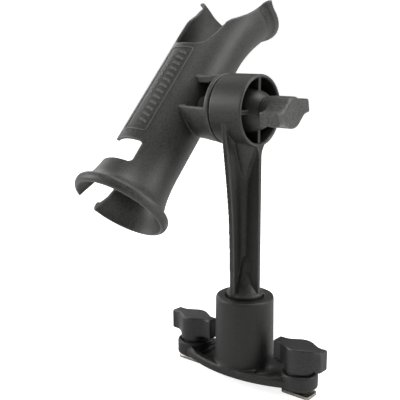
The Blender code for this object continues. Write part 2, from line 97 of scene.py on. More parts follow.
# Hub drum, along the hub axis, and its seam with the tube's disc
DRUM_FRONT = 14.2
DRUM_BACK = -16.0
DRUM_RADIUS = 28.0
SEAM = -16.65

# Rod tube, along its axis from the hub axis toward its upper end
TUBE_X = -70.5
TUBE_TILT = math.radians(43.9)
TUBE_RADIUS = 29.5
BORE_RADIUS = 26.7
TUBE_TOP = 118.4
FLARE_START = 60.0
FLARE_GROWTH = 7.4
FLARE_SHIFT = 10.4
HORN_HEIGHT = 16.0
HORN_SPREAD = 0.2
RIM_GROOVE_DEPTH = 2.3
RIM_GROOVE_WIDTH = 3.4

# Base: a flange between two arcs of one radius, with a boss at each bolt
LENS_RADIUS = 118.0
LENS_HALF_WIDTH = 26.0
FLANGE_TOP = 8.0
WEB_TOP = 4.5
BOSS_TOP = 12.0
BOSS_RADIUS = 15.0
WASHER_SEAT_RADIUS = 11.1
WASHER_SEAT_FLOOR = 10.7

# Splines between post and socket
SPLINE_TEETH = 24
SPLINE_TOP = 53
POST_SPLINE = (13.0, 11.6)
SOCKET_SPLINE = (13.3, 11.9)

# Fasteners
THREAD_PITCH = 1.27
BOLT_RADIUS = 3.1
BOLT_HOLE_RADIUS = 3.6
T_HEAD_THICKNESS = 2.6
HEX_HEAD = 11.1
HEX_POCKET = 11.7
TILT_WASHER_RADIUS = 11.4
BASE_WASHER_RADIUS = 10.7
BASE_WASHER_THICKNESS = 1.0

# Knobs, above their washers
KNOB_RADIUS = 12.2
WING_BOTTOM = 4.7
INSERT_BORE = 5.2
INSERT_DEPTH = 15

# Turns of the three knobs about their screws, in degrees
TILT_KNOB_TURN = 101
LEFT_KNOB_TURN = -3
RIGHT_KNOB_TURN = -2

# Sides of round solids
ROUND = 160
FINE = 64

# Camera, in metres and degrees
CAMERA_PLACE = (0.3337, -0.4679, 0.2696)
CAMERA_LOOK = (-0.6169, 0.7575, -0.2134)
CAMERA_ROLL = -0.324
CAMERA_LENS = 65.59

# Stage and sky: the light given off, and the brightness that the camera sees; the floor's gap in metres
FLOOR_GLOW = (0.05, 0.85)
SKY_GLOW = (0.14, 0.90)
FLOOR_GAP = 0.0003

# Lights: name, place and size in metres, power in watts
LIGHT_TARGET = (0, 0, 0.15)
LIGHTS = (
    ("right", (1.3, 0.7, 0.75), 0.8, 14),
    ("left", (-1.25, -0.8, 0.75), 0.8, 15),
    ("back", (-1.2, 0.6, 0.8), 0.9, 5),
    ("top", (0.2, 0.3, 1.6), 0.9, 13),
)

TUBE_FRAME = Matrix.Translation((TUBE_X, 0, HUB_HEIGHT)) @ Matrix.Rotation(-TUBE_TILT, 4, "X")
HUB_FRAME = Matrix.Translation((0, 0, HUB_HEIGHT)) @ Matrix.Rotation(math.pi / 2, 4, "Y")

scratch = bpy.data.collections.new("scratch")
bpy.context.scene.collection.children.link(scratch)
model = bpy.data.collections.new("visual")
bpy.context.scene.collection.children.link(model)


# ---------------------------------------------------------------- shapes

def scaled(matrix):
    """A millimetre frame as the matrix of an object whose mesh is in metres."""
    placed = matrix.copy()
    placed.translation = matrix.translation * MM
    return placed


def tool(mesh, matrix=Matrix()):
    made = bpy.data.objects.new(mesh.name, mesh)
    made.matrix_world = scaled(matrix)
    scratch.objects.link(made)
    return made


def from_bmesh(shape):
    mesh = bpy.data.meshes.new("solid")
    bmesh.ops.scale(shape, vec=(MM, MM, MM), verts=shape.verts)
    shape.to_mesh(mesh)
    shape.free()
    return mesh


def evaluated(made):
    """The object's mesh with its modifiers applied and its placing kept."""
    bpy.context.view_layer.update()
    seen = made.evaluated_get(bpy.context.evaluated_depsgraph_get())
    return bpy.data.meshes.new_from_object(seen)


def settled(made):
    """Swaps an object for its evaluated, welded mesh."""
    mesh = evaluated(made)
    shape = bmesh.new()
    shape.from_mesh(mesh)
    bmesh.ops.remove_doubles(shape, verts=shape.verts, dist=0.000005)
    shape.to_mesh(mesh)
    shape.free()
    placed = made.matrix_world.copy()
    bpy.data.objects.remove(made)
    solid = bpy.data.objects.new("solid", mesh)
    solid.matrix_world = placed
    scratch.objects.link(solid)
    return solid


def block(low, high, matrix=Matrix()):
    shape = bmesh.new()
    bmesh.ops.create_cube(shape, size=1.0)
    bmesh.ops.scale(shape, vec=Vector(high) - Vector(low), verts=shape.verts)
    bmesh.ops.translate(shape, vec=(Vector(high) + Vector(low)) / 2, verts=shape.verts)
    return tool(from_bmesh(shape), matrix)


def rod(radius, low, high, matrix=Matrix(), sides=FINE):
    shape = bmesh.new()
    bmesh.ops.create_cone(shape, cap_ends=True, segments=sides, radius1=radius, radius2=radius,
                          depth=high - low)
    bmesh.ops.translate(shape, vec=(0, 0, (low + high) / 2), verts=shape.verts)
    return tool(from_bmesh(shape), matrix)


def turned(profile, matrix=Matrix(), sides=ROUND, ring=False):
    """Turns a profile of (radius, height) about local Z; it runs down its outer side."""
    shape = bmesh.new()
    corners = [shape.verts.new((radius, 0, height)) for radius, height in profile]
    for first, second in zip(corners, corners[1:]):
        shape.edges.new((first, second))
    if ring:
        shape.edges.new((corners[-1], corners[0]))
    made = tool(from_bmesh(shape), matrix)
    screw = made.modifiers.new("Turn", "SCREW")
    screw.steps = sides
    screw.render_steps = sides
    screw.use_merge_vertices = True
    screw.merge_threshold = 0.000005
    return settled(made)


def plate(points, low, high, matrix=Matrix(), smooth=0):
    """A flat outline in local XY, from low to high."""
    drawn = bpy.data.curves.new("plate", "CURVE")
    drawn.dimensions = "2D"
    drawn.fill_mode = "BOTH"
    drawn.extrude = (high - low) / 2 * MM
    if smooth:
        line = drawn.splines.new("BEZIER")
        line.resolution_u = smooth
        line.bezier_points.add(len(points) - 1)
        for knot, (x, y) in zip(line.bezier_points, points):
            knot.co = (x * MM, y * MM, 0)
            knot.handle_left_type = "AUTO"
            knot.handle_right_type = "AUTO"
    else:
        line = drawn.splines.new("POLY")
        line.points.add(len(points) - 1)
        for knot, (x, y) in zip(line.points, points):
            knot.co = (x * MM, y * MM, 0, 1)
    line.use_cyclic_u = True
    made = bpy.data.objects.new("plate", drawn)
    made.matrix_world = scaled(matrix @ Matrix.Translation((0, 0, (high + low) / 2)))
    scratch.objects.link(made)
    return whole_faces(settled(made))


def whole_faces(made):
    """Merges the triangles of flat faces, so that a bevel has room along their edges."""
    shape = bmesh.new()
    shape.from_mesh(made.data)
    bmesh.ops.dissolve_limit(shape, angle_limit=math.radians(0.5), verts=shape.verts, edges=shape.edges)
    shape.to_mesh(made.data)
    shape.free()
    return made


def loft(sections):
    """A closed solid through rings of points of the same count."""
    shape = bmesh.new()
    rings = [[shape.verts.new(point) for point in section] for section in sections]
    count = len(rings[0])
    for low, high in zip(rings, rings[1:]):
        for i in range(count):
            j = (i + 1) % count
            shape.faces.new((low[i], low[j], high[j], high[i]))
    shape.faces.new(rings[0])
    shape.faces.new(rings[-1])
    bmesh.ops.recalc_face_normals(shape, faces=shape.faces)
    return tool(from_bmesh(shape))


def combine(body, other, operation):
    step = body.modifiers.new(operation.title(), "BOOLEAN")
    step.operation = operation
    step.object = other
    step.solver = "MANIFOLD"
    return body


def cut(body, *others):
    for other in others:
        combine(body, other, "DIFFERENCE")
    return body


def join(body, *others):
    for other in others:
        combine(body, other, "UNION")
    return body


def soften(body, width, steps=3, angle=40):
    edge = body.modifiers.new("Edges", "BEVEL")
    edge.width = width * MM
    edge.segments = steps
    edge.limit_method = "ANGLE"
    edge.use_clamp_overlap = False
    edge.angle_limit = math.radians(angle)
    return body


def arc(centre, radius, start, end, count):
    step = (end - start) / (count - 1)
    return [(centre[0] + radius * math.cos(math.radians(start + step * i)),
             centre[1] + radius * math.sin(math.radians(start + step * i))) for i in range(count)]


def flowing(points, steps=6):
    """A smooth line through (radius, height) points."""
    ends = [points[0], *points, points[-1]]
    line = []
    for corners in zip(ends, ends[1:], ends[2:], ends[3:]):
        for i in range(steps):
            t = i / steps
            line.append(tuple(
                0.5 * (2 * q + (r - p) * t + (2 * p - 5 * q + 4 * r - s) * t * t
                       + (3 * q - p - 3 * r + s) * t ** 3)
                for p, q, r, s in zip(*corners)))
    return [*line, points[-1]]


def between(table, at):
    """Reads a value from (position, value) rows, on straight lines between them."""
    rows = sorted(table)
    if at <= rows[0][0]:
        return rows[0][1]
    for (low, first), (high, second) in zip(rows, rows[1:]):
        if at <= high:
            t = (at - low) / (high - low)
            return first + (second - first) * t
    return rows[-1][1]


def moulded(name, solid, voxel, rounds, keep):
    """Fuses a rough solid into one skin whose edges and corners are softly rounded."""
    solid = settled(solid)
    fuse = solid.modifiers.new("Fuse", "REMESH")
    fuse.mode = "VOXEL"
    fuse.voxel_size = voxel * MM
    fuse.adaptivity = 0.0
    relax = solid.modifiers.new("Round", "SMOOTH")
    relax.factor = 0.5
    relax.iterations = rounds
    if keep < 1.0:
        thin = solid.modifiers.new("Thin", "DECIMATE")
        thin.ratio = keep
    return finished(name, solid)


def finished(name, solid):
    """One clean mesh object in the row frame, shaded smooth."""
    mesh = evaluated(solid)
    mesh.transform(solid.matrix_world)
    mesh.materials.clear()
    mesh.name = name
    mesh.shade_smooth()
    made = bpy.data.objects.new(name, mesh)
    model.objects.link(made)
    return made


def crisp(name, solid, angle=35):
    made = finished(name, solid)
    made.data.set_sharp_from_angle(angle=math.radians(angle))
    return made


# ---------------------------------------------------------------- rod tube

def flare(shape):
    """Opens the tube's upper end into a scoop whose rim is moved toward the underside."""
    for corner in shape.data.vertices:
        along = corner.co.z / MM
        reach = min(max((along - FLARE_START) / (TUBE_TOP - FLARE_START), 0.0), 1.0)
        growth = 0.9 * reach ** 1.8 + 0.1 * reach ** 10
        radius = math.hypot(corner.co.x, corner.co.y)
        if radius > MM:
            stretch = 1 + FLARE_GROWTH * growth * MM / radius
            rise = min(max(-corner.co.y * stretch / (HORN_HEIGHT * MM), 0.0), 1.0)
            corner.co.x *= stretch * (1 + HORN_SPREAD * reach ** 4 * rise ** 2)
            corner.co.y = corner.co.y * stretch + FLARE_SHIFT * growth * MM
    return shape


def steps_between(start, end, step):
    count = max(1, round(abs(end - start) / step))
    return [start + (end - start) * i / count for i in range(count + 1)]


def tube_outside():
    """The outer profile: rim, groove, straight wall, bell and the mouth's bead."""
    rim = TUBE_RADIUS + 1.15
    top = [(0, TUBE_TOP), (rim - 1.0, TUBE_TOP), (rim - 0.3, TUBE_TOP - 0.3), (rim, TUBE_TOP - 1.0),
           (rim, TUBE_TOP - 3.2), (rim - 0.4, TUBE_TOP - 4.2), (TUBE_RADIUS - 0.9, TUBE_TOP - 5.0)]
    groove = TUBE_TOP - 8.5
    wall = [(TUBE_RADIUS - RIM_GROOVE_DEPTH * math.exp(-((along - groove) / RIM_GROOVE_WIDTH) ** 2), along)
            for along in steps_between(TUBE_TOP - 5.9, FLARE_START, 1.5)]
    bell = flowing([(29.5, -60), (29.6, -66), (29.9, -72), (30.7, -80), (32.2, -88), (33.7, -92.4),
                    (35.8, -95.6), (37.3, -97.4)])
    bead = [(37.9, -98.2), (39.0, -97.6), (39.9, -98.0), (40.7, -99.2), (41.0, -100.8), (40.9, -102.8),
            (40.3, -104.5), (39.3, -105.7), (38.2, -106.2), (36.9, -106.3)]
    return [*top, *wall, *bell, *bead, (0, -106.3)]


def tube_inside():
    """The bore's profile, which opens toward the mouth."""
    top = [(0, TUBE_TOP + 2), (BORE_RADIUS, TUBE_TOP + 2)]
    wall = [(BORE_RADIUS, along) for along in steps_between(TUBE_TOP, FLARE_START, 3)]
    mouth = flowing([(26.7, -60), (27.0, -72), (27.8, -80), (29.2, -88), (31.0, -93), (33.5, -98),
                     (35.6, -102), (36.9, -105), (38.4, -109)])
    return [*top, *wall, *mouth, (0, -109)]


def wrapped_cutter(outline):
    """An outline of (angle in degrees, along) as a block bent round the tube."""
    scale = TUBE_RADIUS * math.pi / 180
    shape = bmesh.new()
    rings = [[shape.verts.new((angle * scale, along, height)) for angle, along in outline]
             for height in (TUBE_RADIUS - 12, TUBE_RADIUS + 12)]
    count = len(outline)
    for i in range(count):
        j = (i + 1) % count
        shape.faces.new((rings[0][i], rings[0][j], rings[1][j], rings[1][i]))
    shape.faces.new(rings[0])
    shape.faces.new(rings[1])
    low = min(angle for angle, along in outline)
    high = max(angle for angle, along in outline)
    for angle in steps_between(low, high, 3)[1:-1]:
        everything = shape.verts[:] + shape.edges[:] + shape.faces[:]
        bmesh.ops.bisect_plane(shape, geom=everything, plane_co=(angle * scale, 0, 0), plane_no=(1, 0, 0))
    for corner in shape.verts:
        angle = -corner.co.x / TUBE_RADIUS
        corner.co = (corner.co.z * math.cos(angle), corner.co.z * math.sin(angle), corner.co.y)
    bmesh.ops.recalc_face_normals(shape, faces=shape.faces)
    return tool(from_bmesh(shape), TUBE_FRAME)


def notch_outline():
    """The reel notch with its rounded shoulder, and the upper part of the slot."""
    top, bottom, slot_top = -57.0, -77.5, -25.0
    inner, radius, near = 61.0, 4.5, 159.1
    wide = radius / (TUBE_RADIUS * math.pi / 180)
    lower = [(inner + wide + wide * math.cos(turn), bottom + radius + radius * math.sin(turn))
             for turn in (math.radians(270 - 10 * i) for i in range(10))]
    upper = [(inner + wide + wide * math.cos(turn), top - radius + radius * math.sin(turn))
             for turn in (math.radians(180 - 10 * i) for i in range(10))]
    shoulder = flowing([(114, top), (121, -56.9), (130, -56), (140, -53), (149, -48.5), (155, -43),
                        (158, -38), (near, -33)], 4)
    end = [(near, -32), (near + 0.8, -29.6), (near + 2.6, -27.4), (near + 5.6, -25.8),
           (near + 10, slot_top)]
    return [*lower, *upper, *shoulder, *end, *[(360 - angle, along) for angle, along in reversed(end)],
            (360 - near, bottom)]


def saddle_cutter():
    """The scoop's round floor, as it is seen from the open side."""
    right = [(0, 44.0), (7.6, 44.6), (12, 46.4), (15.6, 50), (17.6, 55.5), (19.1, 62), (20.5, 70), (21.3, 78),
             (21.4, 90), (21.4, 132)]
    outline = right + [(-x, along) for x, along in reversed(right[1:])]
    facing = Matrix(((1, 0, 0, 0), (0, 0, -1, 0), (0, 1, 0, 0), (0, 0, 0, 1)))
    return plate(outline, 0, 60, TUBE_FRAME @ facing, smooth=8)


def horn_cutter():
    """Everything above the scoop's edges, as they are seen from the side."""
    edge = flowing([(22.4, 71), (20.2, 76), (16.6, 83), (12.4, 90), (8.6, 97), (5.8, 104), (4.4, 110),
                    (3.9, 115), (2.8, TUBE_TOP), (1.0, TUBE_TOP + 6)], 4)
    facing = Matrix(((0, 0, -1, 0), (-1, 0, 0, 0), (0, 1, 0, 0), (0, 0, 0, 1)))
    return plate([*edge, (60, TUBE_TOP + 6), (60, 71)], -50, 50, TUBE_FRAME @ facing)


def ratchet_ring(near, far, teeth_up):
    """A ring of fine radial teeth on the far face."""
    outer, inner, teeth = 24.0, 13.0, 24
    if teeth_up:
        profile = [(outer, far), (outer, near), (inner, near), (inner, far)]
    else:
        profile = [(outer, near), (outer, far), (inner, far), (inner, near)]
    ring = turned(profile, HUB_FRAME, teeth * 2, ring=True)
    for corner in ring.data.vertices:
        if abs(corner.co.z - far * MM) < 0.1 * MM:
            turn = round(math.atan2(corner.co.y, corner.co.x) / (math.pi / teeth))
            reach = math.hypot(corner.co.x, corner.co.y) / outer
            corner.co.z += 0.6 * reach * (1 if turn % 2 else -1)
    return ring


def hub_boss():
    """The tube's hollow boss, its two pockets, its disc and the nose that holds the bolt."""
    wall = TUBE_X + TUBE_RADIUS - 2.0
    outer = [(27.7, -20.5), (26.9, -28), (25.8, -36), (25.4, wall), (25.4, wall - 8)]
    inner = [(radius - 5.2, along) for radius, along in reversed(outer)]
    boss = turned([*outer, *inner], HUB_FRAME, ring=True)
    half = math.radians(42)
    far = 45
    wedge = [(5, 0), (far * math.cos(half), -far * math.sin(half)), (60, 0),
             (far * math.cos(half), far * math.sin(half))]
    for side in (0, math.pi):
        turn = Matrix.Rotation(side - math.pi / 2 - TUBE_TILT, 4, "Z")
        cut(boss, plate(wedge, wall - 12, -21.1, HUB_FRAME @ turn))
    disc = [(0, -17.3), (27.2, -17.3), (27.8, -17.6), (28, -18.3), (28, -20.8), (27.5, -21.4), (0, -21.5)]
    nose = [(0, -20), (11.4, -20), (11.0, -22.5), (10.5, -24), (10.4, -27), (9.6, -28), (0, -28)]
    join(boss, turned(disc, HUB_FRAME), turned(nose, HUB_FRAME))
    return join(boss, ratchet_ring(-18.3, SEAM - 0.15, True))


def hex_outline(across_flats):
    return arc((0, 0), across_flats / 2 / math.cos(math.pi / 6), 0, 300, 6)


def make_tube():
    tube = flare(turned(tube_outside(), TUBE_FRAME))
    join(tube, hub_boss())
    cut(tube, flare(turned(tube_inside(), TUBE_FRAME)), saddle_cutter(), horn_cutter())
    cut(tube, wrapped_cutter(notch_outline()))
    cut(tube, block((-60, -10.5, -125), (-12, 10.5, -63), TUBE_FRAME))
    cut(tube, rod(BOLT_HOLE_RADIUS, -30, -13.6, HUB_FRAME),
        plate(hex_outline(HEX_POCKET), -29, -24.6, HUB_FRAME))
    cut(tube, rod(8.0, -52, -27.6, HUB_FRAME))
    return moulded("rod_tube_moulding", tube, 0.55, 3, 0.35)


def on_tube(angle, along, height):
    """A point on the tube's outer surface; the angle runs from the hub's side over the open side."""
    radius = TUBE_RADIUS + height
    local = Vector((radius * math.cos(angle), -radius * math.sin(angle), along))
    return TUBE_FRAME @ local


def wrapped_pad(outline, height, sink=0.5):
    """A thin raised pad on the tube from an outline of (angle in degrees, along)."""
    low = [on_tube(math.radians(angle), along, -sink) for angle, along in outline]
    high = [on_tube(math.radians(angle), along, height) for angle, along in outline]
    centre = sum((Vector(p) for p in high), Vector()) / len(high)
    inset = [p + (centre - p).normalized() * 0.12 for p in high]
    shape = bmesh.new()
    rings = [[shape.verts.new(p) for p in ring] for ring in (low, high, inset)]
    count = len(outline)
    for first, second in zip(rings, rings[1:]):
        for i in range(count):
            j = (i + 1) % count
            shape.faces.new((first[i], first[j], second[j], second[i]))
    shape.faces.new(rings[0])
    shape.faces.new(rings[-1])
    bmesh.ops.recalc_face_normals(shape, faces=shape.faces)
    return shape


def panel_strip(path, half_width, height):
    """A closed raised line on the tube, from a closed path of (angle in degrees, along)."""
    shape = bmesh.new()
    count = len(path)
    scale = TUBE_RADIUS * math.pi / 180
    rings = []
    for i in range(count):
        before, here, after = path[i - 1], path[i], path[(i + 1) % count]
        run = Vector(((after[0] - before[0]) * scale, after[1] - before[1])).normalized()
        side = Vector((run.y / scale, -run.x))
        ring = []
        for offset, rise in ((-half_width, -0.5), (-half_width, height - 0.12), (-half_width + 0.15, height),
                             (half_width - 0.15, height), (half_width, height - 0.12), (half_width, -0.5)):
            where = (here[0] + side.x * offset, here[1] + side.y * offset)
            ring.append(shape.verts.new(on_tube(math.radians(where[0]), where[1], rise)))
        rings.append(ring)
    for i in range(count):
        first, second = rings[i], rings[(i + 1) % count]
        for j in range(6):
            k = (j + 1) % 6
            shape.faces.new((first[j], first[k], second[k], second[j]))
    bmesh.ops.recalc_face_normals(shape, faces=shape.faces)
    return shape


def rounded_rectangle(left, right, bottom, top, corner_angle, corner_along):
    """A closed path of (angle in degrees, along), with points about 2.5 mm apart."""
    path = []
    for cx, cy, start in ((right - corner_angle, top - corner_along, 0),
                          (left + corner_angle, top - corner_along, 90),
                          (left + corner_angle, bottom + corner_along, 180),
                          (right - corner_angle, bottom + corner_along, 270)):
        for i in range(7):
            turn = math.radians(start + i * 15)
            path.append((cx + corner_angle * math.cos(turn), cy + corner_along * math.sin(turn)))
    full = []
    for here, after in zip(path, path[1:] + path[:1]):
        gap = math.hypot((after[0] - here[0]) * 0.5, after[1] - here[1])
        count = max(1, int(gap / 2.5))
        full += [(here[0] + (after[0] - here[0]) * i / count, here[1] + (after[1] - here[1]) * i / count)
                 for i in range(count)]
    return full


def make_panel():
    """The raised outline on the tube with a plain ornament of slanted bars and dashes."""
    merged = bmesh.new()

    def add(shape):
        mesh = bpy.data.meshes.new("pad")
        shape.to_mesh(mesh)
        shape.free()
        merged.from_mesh(mesh)
        bpy.data.meshes.remove(mesh)

    add(panel_strip(rounded_rectangle(67.5, 113, -48, 39, 3.2, 1.7), 0.45, 0.45))
    slant = 2.2
    for i in range(13):
        low = -41.5 + i * 6.0
        high = low + 2.3
        bar = [(74, low), (74, high), (80, high + slant / 2), (86, high + slant), (89.5, high + slant),
               (89.5, low + slant), (80, low + slant / 2)]
        add(wrapped_pad(bar, 0.4))
    for i in range(9):
        low = -12 + i * 4.8
        dash = [(96, low), (96, low + 3.0), (99, low + 3.0), (99, low)]
        add(wrapped_pad(dash, 0.35))
    bmesh.ops.scale(merged, vec=(MM, MM, MM), verts=merged.verts)
    mesh = bpy.data.meshes.new("panel_ornament")
    merged.to_mesh(mesh)
    merged.free()
    mesh.shade_smooth()
    mesh.set_sharp_from_angle(angle=math.radians(40))
    made = bpy.data.objects.new("panel_ornament", mesh)
    model.objects.link(made)
    return made


# ---------------------------------------------------------------- post

# Rows of height against the front plate's half width, the stem's half thickness and the corners' radius
PLATE_HALF = [(52, 15.0), (70, 15.3), (95, 15.6), (112, 16.2), (133, 17.3), (153, 19.5), (169, 21.7),
              (185, 24.0), (198, 25.9), (210, 27.0), (216, 27.0)]
STEM_HALF = [(52, 1.6), (180, 1.6), (184, 2.1), (187, 3.4), (190, 6.0), (194, 10.0), (216, 14.0)]
FILLET = [(52, 3.5), (120, 4.0), (150, 5.0), (170, 7.0), (190, 10.0), (216, 12.0)]


def post_section(z):
    """A cross with beaded side edges and hollow corners."""
    half = between(PLATE_HALF, z)
    stem = between(STEM_HALF, z)
    fillet = between(FILLET, z)
    path = []
    for side_x, side_y in ((1, -1), (1, 1), (-1, 1), (-1, -1)):
        face = -1.3 if side_x > 0 else -3.5
        lip = -0.3 if side_x > 0 else -4.5
        tip = 14.2 if side_x > 0 else -14.0
        reach_x = min(fillet, abs(tip - face) * 0.9)
        reach_y = min(fillet * 1.25, half - stem - 4.2)
        quarter = [(lip, side_y * half), (lip, side_y * (half - 1.7)), (face, side_y * (half - 3.0))]
        for i in range(9):
            turn = math.radians(90 - 90 * i / 8)
            quarter.append((face + side_x * reach_x * (1 - math.sin(turn)),
                            side_y * (stem + reach_y * (1 - math.cos(turn)))))
        quarter.append((tip, side_y * stem))
        if (side_x > 0) != (side_y < 0):
            quarter.reverse()
        path += quarter
    return [(x, y, z) for x, y in path]


def star(tip, root):
    """The splines' toothed outline."""
    radii = (tip, root)
    turns = [(radii[i % 2], math.pi * i / SPLINE_TEETH) for i in range(2 * SPLINE_TEETH)]
    return [(radius * math.cos(turn), radius * math.sin(turn)) for radius, turn in turns]


def make_post():
    profile = [(0, DRUM_FRONT), (27.0, DRUM_FRONT), (27.6, DRUM_FRONT - 0.25),
               (DRUM_RADIUS, DRUM_FRONT - 1.0), (DRUM_RADIUS, DRUM_BACK + 0.7),
               (DRUM_RADIUS - 0.5, DRUM_BACK), (0, DRUM_BACK)]
    post = turned(profile, HUB_FRAME)
    shank = loft([post_section(z) for z in steps_between(65, 208, 4)])
    foot = [(0, 97), (3.0, 96.5), (4.6, 92), (6.6, 84), (9.6, 75), (13.0, 69), (15.0, 66.8), (15.2, 65.4),
            (15.0, 64.4), (14.8, 58.4), (13.1, 58.2), (13.1, 55.6), (15.0, 55.4), (15.0, 52.4), (0, 52.4)]
    throat = [(0, 198), (16, 198), (14.4, 190), (11.4, 182), (8.2, 174), (5.6, 166), (3.4, 160), (0, 158)]
    join(post, shank, turned(foot), turned(throat, Matrix.Translation((-1.0, 0, 0))))
    join(post, plate(star(*POST_SPLINE), 10, SPLINE_TOP))
    cup = [(0, DRUM_FRONT + 1), (26.6, DRUM_FRONT + 1), (26.3, DRUM_FRONT + 0.1), (25.3, DRUM_FRONT - 1.1),
           (25.0, 0), (24.6, -7), (23.6, -8), (0, -8)]
    cut(post, turned(cup, HUB_FRAME))
    dome = flowing([(11.0, 19.5), (12.2, 18.6), (14.2, 15.4), (16.2, 10.6), (17.8, 5), (18.9, -1),
                    (19.6, -6), (20.4, -9)])
    join(post, turned([(0, 19.6), (10.4, 19.6), *dome, (0, -9)], HUB_FRAME))
    for turn in (0, 1):
        across = HUB_FRAME @ Matrix.Rotation(turn * math.pi / 2, 4, "Z")
        join(post, block((-26, -1.5, -9), (26, 1.5, 12.7), across))
    join(post, ratchet_ring(-15, SEAM + 0.15, False))
    cut(post, rod(BOLT_HOLE_RADIUS, SEAM - 3, 22, HUB_FRAME))
    return moulded("post_moulding", post, 0.5, 3, 0.45)


# ---------------------------------------------------------------- base

def lens_width(x, inset=0.0):
    """Half the flange's width at a distance from the middle."""
    return math.sqrt((LENS_RADIUS - inset) ** 2 - x * x) - (LENS_RADIUS - LENS_HALF_WIDTH)


def lens_outline(reach, inset, start=None):
    """The flange's outline between two distances from the middle."""
    first = -reach if start is None else start
    stations = [first + (reach - first) * i / 40 for i in range(41)]
    upper = [(x, lens_width(x, inset)) for x in stations]
    return upper + [(x, -y) for x, y in reversed(upper)]


def make_base():
    flange = soften(plate(lens_outline(BOLT_X, 0.0), 0, FLANGE_TOP), 2.4, 5)
    for side in (-1, 1):
        boss = [(0, BOSS_TOP), (BOSS_RADIUS - 1.4, BOSS_TOP), (BOSS_RADIUS - 0.5, BOSS_TOP - 0.4),
                (BOSS_RADIUS, BOSS_TOP - 1.4), (BOSS_RADIUS, 0), (0, 0)]
        join(flange, turned(boss, Matrix.Translation((side * BOLT_X, 0, 0))))
    for side in (-1, 1):
        turn = Matrix.Rotation(0 if side > 0 else math.pi, 4, "Z")
        far = BOLT_X - BOSS_RADIUS + 0.5
        cut(flange, soften(plate(lens_outline(far, 5.2, 22.0), WEB_TOP, BOSS_TOP, turn), 1.6, 4))
    wall = [(0, SOCKET_TOP), (22.6, SOCKET_TOP), (23.4, SOCKET_TOP - 0.3), (23.85, SOCKET_TOP - 1.1),
            (24.0, SOCKET_TOP - 2.2), (24.5, 14), (24.8, 10.5), (25.8, 7.6), (27.6, 5.4), (30, 4.4),
            (30, 1), (0, 1)]
    socket = turned(wall)
    combine(socket, plate(lens_outline(BOLT_X, 0.3), 0.5, SOCKET_TOP + 1), "INTERSECT")
    join(flange, socket)
    for side_x in (-1, 1):
        for side_y in (-1, 1):
            join(flange, gusset(side_x, side_y))
    mouth = [(0, SOCKET_TOP + 2), (18.6, SOCKET_TOP + 2), (16.6, SOCKET_TOP + 0.1), (15.5, SOCKET_TOP - 0.9),
             (15.4, SOCKET_TOP - 3), (15.4, 52), (0, 52)]
    cut(flange, turned(mouth), plate(star(*SOCKET_SPLINE), 8, SPLINE_TOP))
    for side in (-1, 1):
        boss_place = Matrix.Translation((side * BOLT_X, 0, 0))
        cut(flange, rod(BOLT_HOLE_RADIUS, -1, BOSS_TOP + 1, boss_place),
            rod(WASHER_SEAT_RADIUS, WASHER_SEAT_FLOOR, BOSS_TOP + 1, boss_place))
    return moulded("base_moulding", flange, 0.5, 10, 0.4)


def gusset(side_x, side_y):
    """A low web that runs from a boss's shoulder down onto the flange's rim."""
    near, far = BOLT_X - 7, BOLT_X - 21
    sections = []
    for x, height in ((near, 9.8), ((near + far) / 2, 8.8), (far, 7.4)):
        outer = lens_width(x, 0.6)
        inner = outer - 4.2
        ring = [(inner - 2.4, 2.0), (outer, 2.0), (outer - 0.6, height - 1.2), (outer - 2.0, height),
                (inner, height - 1.0)]
        sections.append([(side_x * x, side_y * y, z) for y, z in ring])
    return loft(sections)


# ---------------------------------------------------------------- hardware

def knob_outline():
    """Round middle with two wings, alike after half a turn."""
    side = [(21.6, -5.4), (22.3, -4.7), (22.3, 4.7), (21.6, 5.4), (18, 5.2), (15.2, 5.4), (12.8, 6.3),
            (10.8, 7.7)]
    side += arc((0, 0), KNOB_RADIUS, 48, 132, 12)
    side += [(-10.8, 7.7), (-12.8, 6.3), (-15.2, 5.4), (-18, 5.2)]
    return side + [(-x, -y) for x, y in side]


def make_knob(name, place):
    """A T-knob about local Z, standing on its washer at local zero."""
    knob = soften(plate(knob_outline(), WING_BOTTOM, KNOB_HEIGHT, place), 1.6, 4, 50)
    barrel = [(0, 19.0), (12.0, 19.0), (12.1, 4.5), (11.9, 0.9), (11.2, 0.1), (8.5, 0), (0, 0)]
    join(knob, turned(barrel, place))
    cut(knob, rod(INSERT_BORE, -1, INSERT_DEPTH, place), rod(3.7, INSERT_DEPTH - 1, INSERT_DEPTH + 3, place))
    return moulded(name, knob, 0.4, 8, 0.5)


def make_washer(name, radius, thickness, place):
    profile = [(radius - 0.15, thickness), (radius, thickness - 0.15), (radius, 0.15), (radius - 0.15, 0),
               (3.75, 0), (3.6, 0.15), (3.6, thickness - 0.15), (3.75, thickness)]
    return crisp(name, turned(profile, place, FINE, ring=True), 50)


def thread_profile(low, high):
    """The outer side of a threaded shank as close grooves, top to bottom."""
    root = BOLT_RADIUS - 0.45
    line = [(2.5, high)]
    for i in range(int((high - low) / THREAD_PITCH)):
        top = high - 0.3 - i * THREAD_PITCH
        bottom = top - THREAD_PITCH / 2
        line += [(BOLT_RADIUS, top), (BOLT_RADIUS, top - 0.16), (root, bottom), (root, bottom - 0.12)]
    return line


def make_t_bolt(name, x):
    """A track bolt: a flat plate with round corners and a threaded shank."""
    place = Matrix.Translation((x, 0, 0))
    corners = []
    for turn, (sx, sy) in enumerate(((1, 1), (-1, 1), (-1, -1), (1, -1))):
        corners += arc((sx * 10, sy * 4.6), 3.0, turn * 90, turn * 90 + 90, 9)
    bolt = soften(plate(corners, T_HEAD_LOW, T_HEAD_LOW + T_HEAD_THICKNESS, place), 0.45, 3)
    low = T_HEAD_LOW + 1.5
    shank = [(0, BOLT_END), *thread_profile(0.5, BOLT_END), (BOLT_RADIUS, 0.2), (BOLT_RADIUS, low), (0, low)]
    return crisp(name, join(bolt, turned(shank, place, FINE)))


